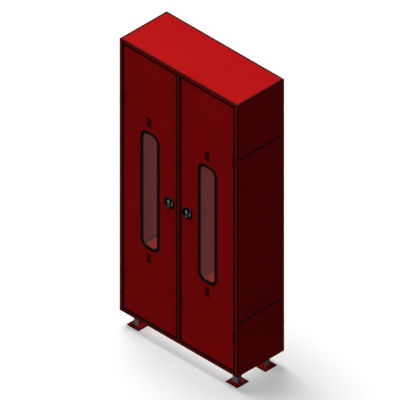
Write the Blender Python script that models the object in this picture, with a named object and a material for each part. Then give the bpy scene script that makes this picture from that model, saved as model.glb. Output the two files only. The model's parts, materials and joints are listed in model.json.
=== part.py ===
"""A two-door steel fire cabinet with window doors, standing on four angle legs.

Metres, +Z up. The doors face -Y, and left and right are as seen from the front.
The origin is on the floor, under the middle of the overall box. Sheet-metal
pieces that are welded to each other keep a hairline gap between their solids.
"""

import math

import bmesh
import bpy
from mathutils import Matrix, Vector

# Overall size
WIDTH = 1.000
DEPTH = 0.400  # front plane of the face frame to the back panel
BODY_HEIGHT = 2.000  # the sheet-metal body without its legs
STAND_HEIGHT = 0.110  # floor to the underside of the body
PROUD = 0.010  # how far the hinge barrels stand out of the front plane

# Sheet metal
SHEET = 0.0015
GAP = 0.0003

# Face frame: folded channels with a stop flange behind the doors
FRAME_FACE = 0.023
FRAME_DEPTH = 0.028
FRAME_BACK_LEG = 0.010
STOP_FLANGE = 0.012

# Door seal: a rubber angle that lines each opening
SEAL_THICKNESS = 0.003
SEAL_FRONT = 0.0008  # behind the front plane
SEAL_LIP = 0.0028

# Doors: folded pans
DOOR_GAP = 0.008  # all round, between the pan and the frame
DOOR_RECESS = 0.003
DOOR_DEPTH = 0.020
DOOR_LIP = 0.012
DOOR_FOLD_RADIUS = 0.0015

# Windows, measured at the visible glass
WINDOW_WIDTH = 0.120
WINDOW_HEIGHT = 0.826
WINDOW_CORNER = 0.040
WINDOW_Z = 1.000  # above the underside of the body
GASKET_BAND = 0.022
GASKET_SKIN_GRIP = 0.008
GASKET_GLASS_GRIP = 0.008
GASKET_LIP = 0.003
GASKET_ROUND = 0.0012
GLASS_THICKNESS = 0.004

# Vents: short level slots above and below each window
VENT_Z_OFFSET = 0.500  # from the window's middle to the middle slot
VENT_PITCH = 0.023
VENT_COUNT = 3
VENT_LENGTH = 0.036
VENT_HEIGHT = 0.012
VENT_X_OFFSET = {"left": -0.0105, "right": -0.0035}  # from the window's middle

# Stiffeners: top-hat channels inside each door
STIFFENER_Z_OFFSET = 0.720
STIFFENER_HAT = 0.040
STIFFENER_FLANGE = 0.012
STIFFENER_DEPTH = 0.014
STIFFENER_END_GAP = 0.004

# Lift-off barrel hinges, at these heights above the underside of the body
HINGE_HEIGHTS = {"lower": 0.284, "upper": 1.585}
HINGE_LENGTH = 0.086
HINGE_RADIUS = 0.0052
HINGE_WING = 0.012
HINGE_WING_THICKNESS = 0.0024
HINGE_END_WALL = 0.003
PIN_RADIUS = 0.0025

# Turn latches
LATCH_X = 0.076  # from the cabinet's middle
LATCH_Z = 1.000  # above the underside of the body
BEZEL_RADIUS = 0.0425
BEZEL_PROUD = 0.0095
BEZEL_SLOPE = 0.0024
DISH_RADIUS = 0.0307
DISH_WALL = 0.0017
DISH_DEPTH = 0.003
DISH_FILLET = 0.003
BOSS_RADIUS = 0.010
BOSS_LENGTH = 0.019
GRIP_WIDTH = 0.017
GRIP_LENGTH = 0.051
GRIP_PROUD = 0.0125
GRIP_ROUND = 0.002
HUB_RADIUS = GRIP_WIDTH / 2
HUB_THICKNESS = 0.003
KEY_RADIUS = 0.0042  # round key recess in the middle of the bar
KEY_DEPTH = 0.0015
SHANK_RADIUS = 0.005
SQUARE_HALF = 0.0035
STUD_RADIUS = 0.003
CAM_THICKNESS = 0.004
CAM_HUB_RADIUS = 0.011
CAM_TIP_RADIUS = 0.008
CAM_REACH = 0.066
NUT_RADIUS = 0.0075
NUT_THICKNESS = 0.006
STUD_END = 0.0016  # how far the stud shows behind the nut
STRIKE_THICKNESS = 0.002
STRIKE_HEIGHT = 0.050

# Body panels
BEAD_HEIGHTS = (0.391, 1.593)  # pressed beads in the sides, above the underside of the body
BEAD_HEIGHT = 0.016
BEAD_DEPTH = 0.005
BEAD_SLOPE = 0.003
BEAD_FRONT_INSET = 0.014
BEAD_BACK_INSET = 0.030
PARTITION_FRONT = 0.032  # behind the front plane
PARTITION_FLANGE = 0.015
SHELF_TOPS = {"lower": 0.391, "upper": 1.593}
SHELF_FRONT = 0.040  # behind the front plane
SHELF_LIP = 0.020

# Legs
LEG_INSET = 0.080  # cabinet side to the middle of a leg
LEG_SIZE = 0.038
LEG_THICKNESS = 0.004
LEG_ROOT_RADIUS = 0.004
PLATE_SIZE = 0.100
PLATE_THICKNESS = 0.005
PLATE_BEVEL = 0.0008

# Roundness
TURN_STEPS = 48
SMALL_TURN_STEPS = 24
CORNER_STEPS = 8
SLOT_STEPS = 6
SMOOTH_ANGLE = math.radians(35)

# Places that follow from the sizes above
HALF = WIDTH / 2
FRONT = -(DEPTH - PROUD) / 2
BACK = FRONT + DEPTH
BASE = STAND_HEIGHT
TOP = BASE + BODY_HEIGHT
PANEL_LOW = BASE + SHEET + GAP
PANEL_HIGH = TOP - SHEET - GAP
DOOR_FRONT = FRONT + DOOR_RECESS
DOOR_OUTER = HALF - FRAME_FACE - DOOR_GAP
DOOR_INNER = FRAME_FACE / 2 + DOOR_GAP
DOOR_MIDDLE = (DOOR_OUTER + DOOR_INNER) / 2
DOOR_LOW = BASE + FRAME_FACE + DOOR_GAP
DOOR_HIGH = TOP - FRAME_FACE - DOOR_GAP
HINGE_X = DOOR_OUTER + DOOR_GAP / 2
HINGE_Y = FRONT - PROUD + HINGE_RADIUS
STRIKE_FRONT = FRONT + FRAME_DEPTH + GAP
CAM_FRONT = STRIKE_FRONT + STRIKE_THICKNESS + GAP
CAM_BACK = CAM_FRONT + CAM_THICKNESS

SIDES = {"left": -1, "right": 1}
ENDS = {"front": -1, "back": 1}

# Finishes: colour, roughness, metallic, alpha
RED_PAINT = ((0.40, 0.004, 0.005), 0.45, 0.0, 1.0)
BARE_STEEL = ((0.30, 0.33, 0.31), 0.45, 1.0, 1.0)
ZINC = ((0.62, 0.64, 0.66), 0.35, 1.0, 1.0)
CAST_SILVER = ((0.60, 0.62, 0.61), 0.30, 1.0, 1.0)
BLACK_PLASTIC = ((0.012, 0.012, 0.013), 0.40, 0.0, 1.0)
BLACK_RUBBER = ((0.010, 0.010, 0.010), 0.80, 0.0, 1.0)
CLEAR_GLASS = ((0.80, 0.84, 0.83), 0.03, 0.0, 0.35)


def clear_scene():
    for obj in list(bpy.data.objects):
        bpy.data.objects.remove(obj, do_unlink=True)


def give_finish(obj, finish):
    """Gives the object a material of its own, named after it."""
    colour, roughness, metallic, alpha = finish
    made = bpy.data.materials.new(obj.name + "_finish")
    made.use_nodes = True
    shader = made.node_tree.nodes["Principled BSDF"]
    shader.inputs["Base Color"].default_value = (*colour, 1.0)
    shader.inputs["Roughness"].default_value = roughness
    shader.inputs["Metallic"].default_value = metallic
    shader.inputs["Alpha"].default_value = alpha
    made.diffuse_color = (*colour, alpha)
    obj.data.materials.clear()
    obj.data.materials.append(made)


def as_object(name, shape):
    """Turns a bmesh into an object of this name, with its faces pointing out."""
    bmesh.ops.recalc_face_normals(shape, faces=shape.faces)
    mesh = bpy.data.meshes.new(name)
    shape.to_mesh(mesh)
    shape.free()
    obj = bpy.data.objects.new(name, mesh)
    bpy.context.scene.collection.objects.link(obj)
    return obj


def finished(name, shape, finish, smooth=False):
    """Makes a sub-part from a bmesh or from a helper object."""
    obj = as_object(name, shape) if isinstance(shape, bmesh.types.BMesh) else shape
    obj.name = name
    obj.data.name = name
    give_finish(obj, finish)
    if smooth:
        obj.data.shade_smooth()
        obj.data.set_sharp_from_angle(angle=SMOOTH_ANGLE)
    return obj


def box(low, high):
    """A box between two corners."""
    shape = bmesh.new()
    low, high = Vector(low), Vector(high)
    size = Matrix.Diagonal((*(high - low), 1.0))
    bmesh.ops.create_cube(shape, size=1.0, matrix=Matrix.Translation((low + high) / 2) @ size)
    return shape


def mirrored_box(side, near, far, y_range, z_range):
    """A box whose X range is given as distances from the cabinet's middle plane."""
    low_x, high_x = sorted((side * near, side * far))
    return box((low_x, y_range[0], z_range[0]), (high_x, y_range[1], z_range[1]))


def rounded_box(low, high, radius, steps):
    shape = box(low, high)
    bmesh.ops.bevel(
        shape, geom=shape.edges[:], offset=radius, segments=steps, affect="EDGES", profile=0.5
    )
    return shape


def bridge(shape, first, second):
    """Joins two loops of vertices, given in the same order, with quads."""
    count = len(first)
    for i in range(count):
        j = (i + 1) % count
        shape.faces.new((first[i], first[j], second[j], second[i]))


def prism(outline, place, start, end):
    """Extrudes a closed outline; place(u, v, w) puts outline point u, v at depth w."""
    shape = bmesh.new()
    first = [shape.verts.new(place(u, v, start)) for u, v in outline]
    second = [shape.verts.new(place(u, v, end)) for u, v in outline]
    bridge(shape, first, second)
    shape.faces.new(first)
    shape.faces.new(list(reversed(second)))
    return shape


def turned(profile, x, z, steps):
    """Turns a closed profile of (radius, y) points about the line along Y at x, z."""
    shape = bmesh.new()
    rings = []
    for radius, y in profile:
        angles = (2 * math.pi * i / steps for i in range(steps))
        rings.append(
            [shape.verts.new((x + radius * math.cos(a), y, z + radius * math.sin(a))) for a in angles]
        )
    for i, ring in enumerate(rings):
        bridge(shape, ring, rings[(i + 1) % len(rings)])
    return shape


def circle(radius, steps, u=0.0, v=0.0, start=0.0, turn=2 * math.pi, closed=True):
    """Points along a circle, or along an arc with both its ends."""
    pieces = steps if closed else steps - 1
    angles = (start + turn * i / pieces for i in range(steps))
    return [(u + radius * math.cos(a), v + radius * math.sin(a)) for a in angles]


def along_y(x=0.0, z=0.0):
    """Outlines drawn in X and Z round this point and extruded along Y."""
    return lambda u, v, w: (x + u, w, z + v)


def along_z(x=0.0, y=0.0):
    """Outlines drawn in X and Y round this point and extruded along Z."""
    return lambda u, v, w: (x + u, y + v, w)


def slot_outline(length, height):
    """A level slot with half-round ends."""
    radius = height / 2
    reach = length / 2 - radius
    right = circle(radius, SLOT_STEPS, u=reach, start=-math.pi / 2, turn=math.pi, closed=False)
    left = circle(radius, SLOT_STEPS, u=-reach, start=math.pi / 2, turn=math.pi, closed=False)
    return right + left


def corner_points(width, height, radius):
    """The corner centres of a rounded rectangle, each with its directions outwards."""
    reach_u, reach_v = width / 2 - radius, height / 2 - radius
    quarter = math.pi / 2
    for index, (sign_u, sign_v) in enumerate(((1, 1), (-1, 1), (-1, -1), (1, -1))):
        centre = (sign_u * reach_u, sign_v * reach_v)
        if radius:
            arc = circle(1.0, CORNER_STEPS, start=index * quarter, turn=quarter, closed=False)
        else:
            arc = [(sign_u, sign_v)]
        yield centre, arc


def rounded_outline(width, height, radius, grow=0.0):
    """A rounded rectangle, grown outwards by this much."""
    points = []
    for (u, v), arc in corner_points(width, height, radius):
        points += [(u + (radius + grow) * a, v + (radius + grow) * b) for a, b in arc]
    return points


def framed(section, width, height, radius, x, z):
    """Sweeps a closed section of (grow, y) points round a rectangle in the XZ plane."""
    shape = bmesh.new()
    loops = []
    for grow, y in section:
        outline = rounded_outline(width, height, radius, grow)
        loops.append([shape.verts.new((x + u, y, z + v)) for u, v in outline])
    for i, loop in enumerate(loops):
        bridge(shape, loop, loops[(i + 1) % len(loops)])
    return shape


def combine(obj, shape, operation):
    """Adds a bmesh to the object (UNION) or cuts it away (DIFFERENCE)."""
    tool = as_object("tool", shape)
    modifier = obj.modifiers.new(operation, "BOOLEAN")
    modifier.operation = operation
    modifier.solver = "EXACT"
    modifier.object = tool
    bpy.context.view_layer.update()
    graph = bpy.context.evaluated_depsgraph_get()
    result = bpy.data.meshes.new_from_object(obj.evaluated_get(graph))
    obj.modifiers.clear()
    obj.data = result
    bpy.data.objects.remove(tool, do_unlink=True)


def assemble(start, added=(), cut=()):
    """One object made of a first bmesh, others added to it and others cut away."""
    obj = as_object("shape", start)
    for shape in added:
        combine(obj, shape, "UNION")
    for shape in cut:
        combine(obj, shape, "DIFFERENCE")
    return obj


# Body


def make_plates():
    """The roof and the floor: flat sheets that cap the body."""
    finished("roof_panel", box((-HALF, FRONT, TOP - SHEET), (HALF, BACK, TOP)), RED_PAINT)
    finished("floor_panel", box((-HALF, FRONT, BASE), (HALF, BACK, BASE + SHEET)), RED_PAINT)


def make_back_panel():
    low = (-HALF, BACK - SHEET, PANEL_LOW)
    finished("back_panel", box(low, (HALF, BACK, PANEL_HIGH)), RED_PAINT)


def bead(side, z, grow, start, end):
    """A pressed bead's tapered block, from start to end metres inside the side's outer face."""
    front, back = FRONT + BEAD_FRONT_INSET, BACK - BEAD_BACK_INSET
    shape = bmesh.new()
    loops = []
    for depth in (start, end):
        taper = grow - BEAD_SLOPE * depth / BEAD_DEPTH
        x = side * (HALF - depth)
        low_y, high_y = front - taper, back + taper
        low_z, high_z = z - BEAD_HEIGHT / 2 - taper, z + BEAD_HEIGHT / 2 + taper
        corners = ((low_y, low_z), (high_y, low_z), (high_y, high_z), (low_y, high_z))
        loops.append([shape.verts.new((x, y, height)) for y, height in corners])
    bridge(shape, *loops)
    shape.faces.new(loops[0])
    shape.faces.new(list(reversed(loops[1])))
    return shape


def make_side_panel(label, side):
    """A side sheet, with a bead pressed inwards at the height of each shelf."""
    y_range = (FRONT + SHEET + GAP, BACK - SHEET - GAP)
    sheet = mirrored_box(side, HALF - SHEET, HALF, y_range, (PANEL_LOW, PANEL_HIGH))
    heights = [BASE + height for height in BEAD_HEIGHTS]
    ribs = [bead(side, z, SHEET, SHEET / 2, BEAD_DEPTH + SHEET) for z in heights]
    grooves = [bead(side, z, 0.0, -SHEET, BEAD_DEPTH) for z in heights]
    finished(f"{label}_side_panel", assemble(sheet, ribs, grooves), RED_PAINT)


def edge_channel_section():
    """Across and depth points of an outer frame channel, from the body's edge inwards."""
    leg = SHEET + GAP
    return [
        (0, 0),
        (FRAME_FACE, 0),
        (FRAME_FACE, FRAME_DEPTH - SHEET),
        (FRAME_FACE + STOP_FLANGE, FRAME_DEPTH - SHEET),
        (FRAME_FACE + STOP_FLANGE, FRAME_DEPTH),
        (FRAME_FACE - SHEET, FRAME_DEPTH),
        (FRAME_FACE - SHEET, SHEET),
        (leg + SHEET, SHEET),
        (leg + SHEET, FRAME_BACK_LEG),
        (leg, FRAME_BACK_LEG),
        (leg, SHEET),
        (0, SHEET),
    ]


def flange_ends(near, far):
    """Cutters that shorten a stop flange at the top and bottom, between two distances."""
    reach = FRAME_FACE + STOP_FLANGE + GAP
    y_range = (FRONT + SEAL_LIP, FRONT + FRAME_DEPTH + SHEET)
    for side in SIDES.values():
        yield mirrored_box(side, near, far, y_range, (BASE - SHEET, BASE + reach))
        yield mirrored_box(side, near, far, y_range, (TOP - reach, TOP + SHEET))


def make_stile(label, side):
    section = [(side * (HALF - across), FRONT + depth) for across, depth in edge_channel_section()]
    channel = prism(section, along_z(), PANEL_LOW, PANEL_HIGH)
    cutters = flange_ends(HALF - FRAME_FACE, HALF - FRAME_FACE - STOP_FLANGE - SHEET)
    finished(f"{label}_stile", assemble(channel, cut=cutters), RED_PAINT)


def make_rail(label, edge, inwards):
    """A rail between the stiles; its stop flange is notched for the mullion."""
    leg = SHEET + GAP
    section = []
    for across, depth in edge_channel_section():
        section.append((FRONT + depth, edge + inwards * max(across, leg)))
    reach = HALF - FRAME_FACE - GAP
    rail = prism(section, lambda u, v, w: (w, u, v), -reach, reach)
    notch = FRAME_FACE / 2 + GAP
    far = edge + inwards * (FRAME_FACE + STOP_FLANGE + SHEET)
    low_z, high_z = sorted((edge + inwards * FRAME_FACE, far))
    low = (-notch, FRONT + SEAL_LIP, low_z)
    cutter = box(low, (notch, FRONT + FRAME_DEPTH + SHEET, high_z))
    finished(f"{label}_rail", assemble(rail, cut=[cutter]), RED_PAINT)


def make_mullion():
    half = FRAME_FACE / 2
    right = [
        (half, 0),
        (half, FRAME_DEPTH - SHEET),
        (half + STOP_FLANGE, FRAME_DEPTH - SHEET),
        (half + STOP_FLANGE, FRAME_DEPTH),
        (half - SHEET, FRAME_DEPTH),
        (half - SHEET, SHEET),
    ]
    left = [(-across, depth) for across, depth in reversed(right)]
    section = [(across, FRONT + depth) for across, depth in right + left]
    reach = FRAME_FACE + GAP
    channel = prism(section, along_z(), BASE + reach, TOP - reach)
    cutters = flange_ends(half, half + STOP_FLANGE + SHEET)
    finished("centre_mullion", assemble(channel, cut=cutters), RED_PAINT)


def make_partition():
    """The upright sheet between the two compartments, with a foot on the back panel."""
    half = SHEET / 2
    foot = half + PARTITION_FLANGE
    back = BACK - SHEET - GAP
    sheet = box((-half, FRONT + PARTITION_FRONT, PANEL_LOW), (half, back - GAP, PANEL_HIGH))
    flange = box((-foot, back - SHEET, PANEL_LOW), (foot, back, PANEL_HIGH))
    finished("centre_partition", assemble(sheet, [flange]), RED_PAINT)


def make_shelf(level, label, side):
    """A shelf tray with all four edges folded down."""
    top = BASE + SHELF_TOPS[level]
    near = SHEET / 2 + GAP
    far = HALF - BEAD_DEPTH - SHEET - GAP
    y_range = (FRONT + SHELF_FRONT, BACK - 2 * (SHEET + GAP))
    inner_y = (y_range[0] + SHEET, y_range[1] - SHEET)
    tray = mirrored_box(side, near, far, y_range, (top - SHELF_LIP, top))
    hollow_z = (top - SHELF_LIP - SHEET, top - SHEET)
    hollow = mirrored_box(side, near + SHEET, far - SHEET, inner_y, hollow_z)
    finished(f"{level}_{label}_shelf", assemble(tray, cut=[hollow]), RED_PAINT)


def make_leg(end_label, end, label, side):
    """An angle-iron leg, its corner facing outwards, on a square base plate."""
    x = side * (HALF - LEG_INSET)
    y = (FRONT + BACK) / 2 + end * (DEPTH / 2 - LEG_INSET)
    half = LEG_SIZE / 2
    root = half - LEG_THICKNESS
    fillet_centre = root - LEG_ROOT_RADIUS
    fillet = circle(
        LEG_ROOT_RADIUS, SLOT_STEPS, fillet_centre, fillet_centre, 0.0, math.pi / 2, closed=False
    )
    angle = [(half, half), (-half, half), (-half, root), *reversed(fillet), (root, -half), (half, -half)]
    outline = [(side * u, end * v) for u, v in angle]
    leg = prism(outline, along_z(x, y), PLATE_THICKNESS + GAP, BASE - GAP)
    finished(f"{end_label}_{label}_leg", leg, BARE_STEEL)
    reach = PLATE_SIZE / 2
    low = (x - reach, y - reach, 0.0)
    plate = rounded_box(low, (x + reach, y + reach, PLATE_THICKNESS), PLATE_BEVEL, 1)
    finished(f"{end_label}_{label}_base_plate", plate, RED_PAINT)


def make_seal(label, side):
    """The rubber angle round a door opening: one leg on the frame, one behind the door."""
    back = FRONT + FRAME_DEPTH - SHEET - GAP
    front = FRONT + SEAL_FRONT
    leg, lip = GAP + SEAL_THICKNESS, STOP_FLANGE - GAP
    section = [
        (-GAP, front),
        (-leg, front),
        (-leg, back - SEAL_LIP),
        (-lip, back - SEAL_LIP),
        (-lip, back),
        (-GAP, back),
    ]
    width = HALF - FRAME_FACE * 1.5
    height = BODY_HEIGHT - 2 * FRAME_FACE
    ring = framed(section, width, height, 0.0, side * DOOR_MIDDLE, (BASE + TOP) / 2)
    finished(f"{label}_door_seal", ring, BLACK_RUBBER)


def make_strike():
    """The wear plate behind the mullion that both latches close on."""
    half = FRAME_FACE / 2 + STOP_FLANGE
    z = BASE + LATCH_Z
    low = (-half, STRIKE_FRONT, z - STRIKE_HEIGHT / 2)
    high = (half, STRIKE_FRONT + STRIKE_THICKNESS, z + STRIKE_HEIGHT / 2)
    finished("strike_plate", box(low, high), ZINC)


# Doors


def make_door_shell(label, side):
    """A folded pan with a window, a latch hole and vent slots."""
    low_z, high_z = DOOR_LOW, DOOR_HIGH
    middle = side * DOOR_MIDDLE
    half = (DOOR_OUTER - DOOR_INNER) / 2
    back = DOOR_FRONT + DOOR_DEPTH
    low, high = (middle - half, DOOR_FRONT, low_z), (middle + half, back, high_z)
    pan = rounded_box(low, high, DOOR_FOLD_RADIUS, 2)

    def inside(wall, start, end):
        x_reach = half - wall
        return box((middle - x_reach, start, low_z + wall), (middle + x_reach, end, high_z - wall))

    hollow = inside(SHEET, DOOR_FRONT + SHEET, back - SHEET)
    mouth = inside(DOOR_LIP, back - 2 * SHEET, back + SHEET)
    skin = (DOOR_FRONT - SHEET, DOOR_FRONT + 2 * SHEET)
    grow = GASKET_BAND - GASKET_SKIN_GRIP
    outline = rounded_outline(WINDOW_WIDTH, WINDOW_HEIGHT, WINDOW_CORNER, grow)
    window = prism(outline, along_y(middle, BASE + WINDOW_Z), *skin)
    latch_hole = circle(DISH_RADIUS + GAP, TURN_STEPS)
    cutters = [hollow, mouth, window]
    cutters.append(prism(latch_hole, along_y(side * LATCH_X, BASE + LATCH_Z), *skin))
    vent = slot_outline(VENT_LENGTH, VENT_HEIGHT)
    for direction in (-1, 1):
        for index in range(VENT_COUNT):
            step = (index - (VENT_COUNT - 1) / 2) * VENT_PITCH
            z = BASE + WINDOW_Z + direction * VENT_Z_OFFSET + step
            cutters.append(prism(vent, along_y(middle + VENT_X_OFFSET[label], z), *skin))
    return finished(f"{label}_door_shell", assemble(pan, cut=cutters), RED_PAINT)


def gasket_section():
    """Grow and y points of the H-shaped rubber that holds the glass in the door's skin."""
    front, back = DOOR_FRONT - GASKET_LIP, DOOR_FRONT + GLASS_THICKNESS + GASKET_LIP
    skin_front, skin_back = DOOR_FRONT - GAP, DOOR_FRONT + SHEET + GAP
    glass_front, glass_back = DOOR_FRONT - GAP, DOOR_FRONT + GLASS_THICKNESS + GAP
    web = GASKET_BAND - GASKET_SKIN_GRIP - GAP
    return [
        (GASKET_BAND - GASKET_ROUND, front),
        (GASKET_BAND, front + GASKET_ROUND),
        (GASKET_BAND, skin_front),
        (web, skin_front),
        (web, skin_back),
        (GASKET_BAND, skin_back),
        (GASKET_BAND, back),
        (0.0, back),
        (0.0, glass_back),
        (GASKET_GLASS_GRIP, glass_back),
        (GASKET_GLASS_GRIP, glass_front),
        (0.0, glass_front),
        (0.0, front + GASKET_ROUND),
        (GASKET_ROUND, front),
    ]


def make_window(label, side):
    x, z = side * DOOR_MIDDLE, BASE + WINDOW_Z
    size = (WINDOW_WIDTH, WINDOW_HEIGHT, WINDOW_CORNER)
    ring = framed(gasket_section(), *size, x, z)
    gasket = finished(f"{label}_window_gasket", ring, BLACK_RUBBER, smooth=True)
    outline = rounded_outline(*size, GASKET_GLASS_GRIP - GAP)
    pane = prism(outline, along_y(x, z), DOOR_FRONT, DOOR_FRONT + GLASS_THICKNESS)
    return [gasket, finished(f"{label}_window_glass", pane, CLEAR_GLASS)]


def make_stiffener(label, side, level, z):
    """A top-hat channel across the inside of the door skin."""
    front = DOOR_FRONT + SHEET + GAP
    crown, flange = STIFFENER_HAT / 2, STIFFENER_HAT / 2 + STIFFENER_FLANGE
    upper = [
        (crown - SHEET, 0),
        (flange, 0),
        (flange, SHEET),
        (crown, SHEET),
        (crown, STIFFENER_DEPTH),
    ]
    hollow = [(crown - SHEET, STIFFENER_DEPTH - SHEET)]
    lower = [(-up, depth) for up, depth in reversed(upper)]
    under = [(-up, depth) for up, depth in reversed(hollow)]
    section = [(z + up, front + depth) for up, depth in upper + lower + under + hollow]
    reach = (DOOR_OUTER - DOOR_INNER) / 2 - SHEET - STIFFENER_END_GAP
    middle = side * DOOR_MIDDLE
    hat = prism(section, lambda u, v, w: (w, v, u), middle - reach, middle + reach)
    return finished(f"{label}_door_{level}_stiffener", hat, RED_PAINT)


# Hinges


def half_hinge(side, low_z, bore_low, bore_high, wing):
    """Half of a barrel hinge: a bored barrel with a short wing to weld on."""
    x, y = side * HINGE_X, HINGE_Y
    high_z = low_z + HINGE_LENGTH / 2 - GAP / 2
    barrel = prism(circle(HINGE_RADIUS, SMALL_TURN_STEPS), along_z(x, y), low_z, high_z)
    bore = prism(circle(PIN_RADIUS + GAP, SMALL_TURN_STEPS), along_z(x, y), bore_low, bore_high)
    near, far, back = wing
    y_range = (back - HINGE_WING_THICKNESS, back)
    plate = mirrored_box(side, near, far, y_range, (low_z, high_z))
    return assemble(barrel, [plate], [bore])


def make_hinge(label, side, level):
    """Returns the half that turns with the door; the pin stays in the frame's half."""
    middle = BASE + HINGE_HEIGHTS[level]
    low = middle - HINGE_LENGTH / 2
    high = middle + HINGE_LENGTH / 2
    name = f"{label}_{level}_hinge"
    frame_wing = (HINGE_X, HINGE_X + HINGE_WING, FRONT - GAP)
    frame_half = half_hinge(side, low, low + HINGE_END_WALL, middle + GAP, frame_wing)
    finished(f"{name}_frame_half", frame_half, RED_PAINT, smooth=True)
    door_wing = (HINGE_X, HINGE_X - HINGE_WING, DOOR_FRONT - GAP)
    upper_low = middle + GAP / 2
    door_half = half_hinge(side, upper_low, upper_low - GAP, high - HINGE_END_WALL, door_wing)
    pin_ends = (low + HINGE_END_WALL + GAP, high - HINGE_END_WALL - GAP)
    place = along_z(side * HINGE_X, HINGE_Y)
    pin = prism(circle(PIN_RADIUS, SMALL_TURN_STEPS), place, *pin_ends)
    finished(f"{name}_pin", pin, ZINC, smooth=True)
    return finished(f"{name}_door_half", door_half, RED_PAINT, smooth=True)


# Latches


def make_latch_cup(label, side):
    """The bezel ring on the door's face and the dish that the grip sits in."""
    x, z = side * LATCH_X, BASE + LATCH_Z
    inner = DISH_RADIUS + GAP
    front, back = DOOR_FRONT - BEZEL_PROUD, DOOR_FRONT - GAP
    bezel = [
        (inner, back),
        (inner, front + GAP),
        (inner + GAP, front),
        (BEZEL_RADIUS - BEZEL_SLOPE, front),
        (BEZEL_RADIUS - BEZEL_SLOPE / 4, front + BEZEL_SLOPE / 2),
        (BEZEL_RADIUS, front + BEZEL_SLOPE),
        (BEZEL_RADIUS, back),
    ]
    ring = finished(f"{label}_latch_bezel", turned(bezel, x, z, TURN_STEPS), BLACK_PLASTIC, True)
    rim = DOOR_FRONT - BEZEL_PROUD / 2
    floor = DOOR_FRONT + DISH_DEPTH
    wall = DISH_RADIUS - DISH_WALL
    boss_end = floor + DISH_WALL + BOSS_LENGTH
    bore = SHANK_RADIUS + GAP
    fillet = circle(DISH_FILLET, 4, wall - DISH_FILLET, floor - DISH_FILLET, 0.0, math.pi / 2, False)
    dish = [
        (DISH_RADIUS, rim),
        (wall, rim),
        *fillet,
        (bore, floor),
        (bore, boss_end),
        (BOSS_RADIUS, boss_end),
        (BOSS_RADIUS, floor + DISH_WALL),
        (DISH_RADIUS - DISH_FILLET / 2, floor + DISH_WALL),
        (DISH_RADIUS, floor + DISH_WALL - DISH_FILLET / 2),
    ]
    cup = finished(f"{label}_latch_dish", turned(dish, x, z, TURN_STEPS), CAST_SILVER, True)
    return [ring, cup]


def make_grip(label, side):
    """The upright grip bar with its hub, round shank, square and threaded stud."""
    x, z = side * LATCH_X, BASE + LATCH_Z
    place = along_y(x, z)
    floor = DOOR_FRONT + DISH_DEPTH - GAP
    front = DOOR_FRONT - GRIP_PROUD
    outline = [(v, u) for u, v in slot_outline(GRIP_LENGTH, GRIP_WIDTH)]
    bar = prism(outline, place, front, floor)
    rim = [edge for edge in bar.edges if all(abs(vert.co.y - front) < GAP for vert in edge.verts)]
    bmesh.ops.bevel(bar, geom=rim, offset=GRIP_ROUND, segments=2, affect="EDGES", profile=0.5)
    shoulder = CAM_FRONT - GAP
    nut_back = CAM_BACK + GAP + NUT_THICKNESS
    hub = prism(circle(HUB_RADIUS, TURN_STEPS), place, floor - HUB_THICKNESS, floor)
    shank = prism(circle(SHANK_RADIUS, SMALL_TURN_STEPS), place, floor - GRIP_ROUND, shoulder)
    half = SQUARE_HALF
    square = box((x - half, shoulder - GRIP_ROUND, z - half), (x + half, CAM_BACK, z + half))
    stud = prism(circle(STUD_RADIUS, SMALL_TURN_STEPS), place, shoulder, nut_back + STUD_END)
    recess = prism(circle(KEY_RADIUS, SMALL_TURN_STEPS), place, front - SHEET, front + KEY_DEPTH)
    grip = assemble(bar, [hub, shank, square, stud], [recess])
    return finished(f"{label}_latch_grip", grip, CAST_SILVER, smooth=True)


def make_cam(label, side):
    """The cam that hangs down when the latch is open."""
    x, z = side * LATCH_X, BASE + LATCH_Z
    tip = -(CAM_REACH - CAM_TIP_RADIUS)
    lean = math.asin((CAM_HUB_RADIUS - CAM_TIP_RADIUS) / -tip)
    hub = circle(CAM_HUB_RADIUS, SMALL_TURN_STEPS, 0, 0, -lean, math.pi + 2 * lean, False)
    end = circle(CAM_TIP_RADIUS, SMALL_TURN_STEPS, 0, tip, math.pi + lean, math.pi - 2 * lean, False)
    blade = prism(hub + end, along_y(x, z), CAM_FRONT, CAM_BACK)
    half = SQUARE_HALF + GAP
    hole = box((x - half, CAM_FRONT - SHEET, z - half), (x + half, CAM_BACK + SHEET, z + half))
    return finished(f"{label}_latch_cam", assemble(blade, cut=[hole]), ZINC)


def make_nut(label, side):
    x, z = side * LATCH_X, BASE + LATCH_Z
    start = CAM_BACK + GAP
    nut = prism(circle(NUT_RADIUS, 6), along_y(x, z), start, start + NUT_THICKNESS)
    ends = (start - SHEET, start + NUT_THICKNESS + SHEET)
    bore = prism(circle(STUD_RADIUS + GAP, SMALL_TURN_STEPS), along_y(x, z), *ends)
    return finished(f"{label}_latch_nut", assemble(nut, cut=[bore]), ZINC)


# Assembly


def pivot(name, location, parent=None):
    """An empty on a joint's axis, which carries the pieces that turn about it."""
    empty = bpy.data.objects.new(name, None)
    bpy.context.scene.collection.objects.link(empty)
    empty.location = location
    if parent:
        carry(parent, [empty])
    return empty


def carry(parent, children):
    """Parents the children without moving them."""
    for child in children:
        child.parent = parent
        child.matrix_parent_inverse = Matrix.Translation(-parent.location)


def make_door(label, side):
    """A door on its hinge axis, with its latch on the latch axis."""
    door = pivot(f"{label}_door_pivot", (side * HINGE_X, HINGE_Y, BASE))
    pieces = [make_door_shell(label, side), *make_window(label, side), *make_latch_cup(label, side)]
    for level, direction in (("lower", -1), ("upper", 1)):
        z = BASE + WINDOW_Z + direction * STIFFENER_Z_OFFSET
        pieces.append(make_stiffener(label, side, level, z))
        pieces.append(make_hinge(label, side, level))
    carry(door, pieces)
    latch_axis = (side * LATCH_X, DOOR_FRONT, BASE + LATCH_Z)
    latch = pivot(f"{label}_latch_pivot", latch_axis, door)
    carry(latch, [make_grip(label, side), make_cam(label, side), make_nut(label, side)])


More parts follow.
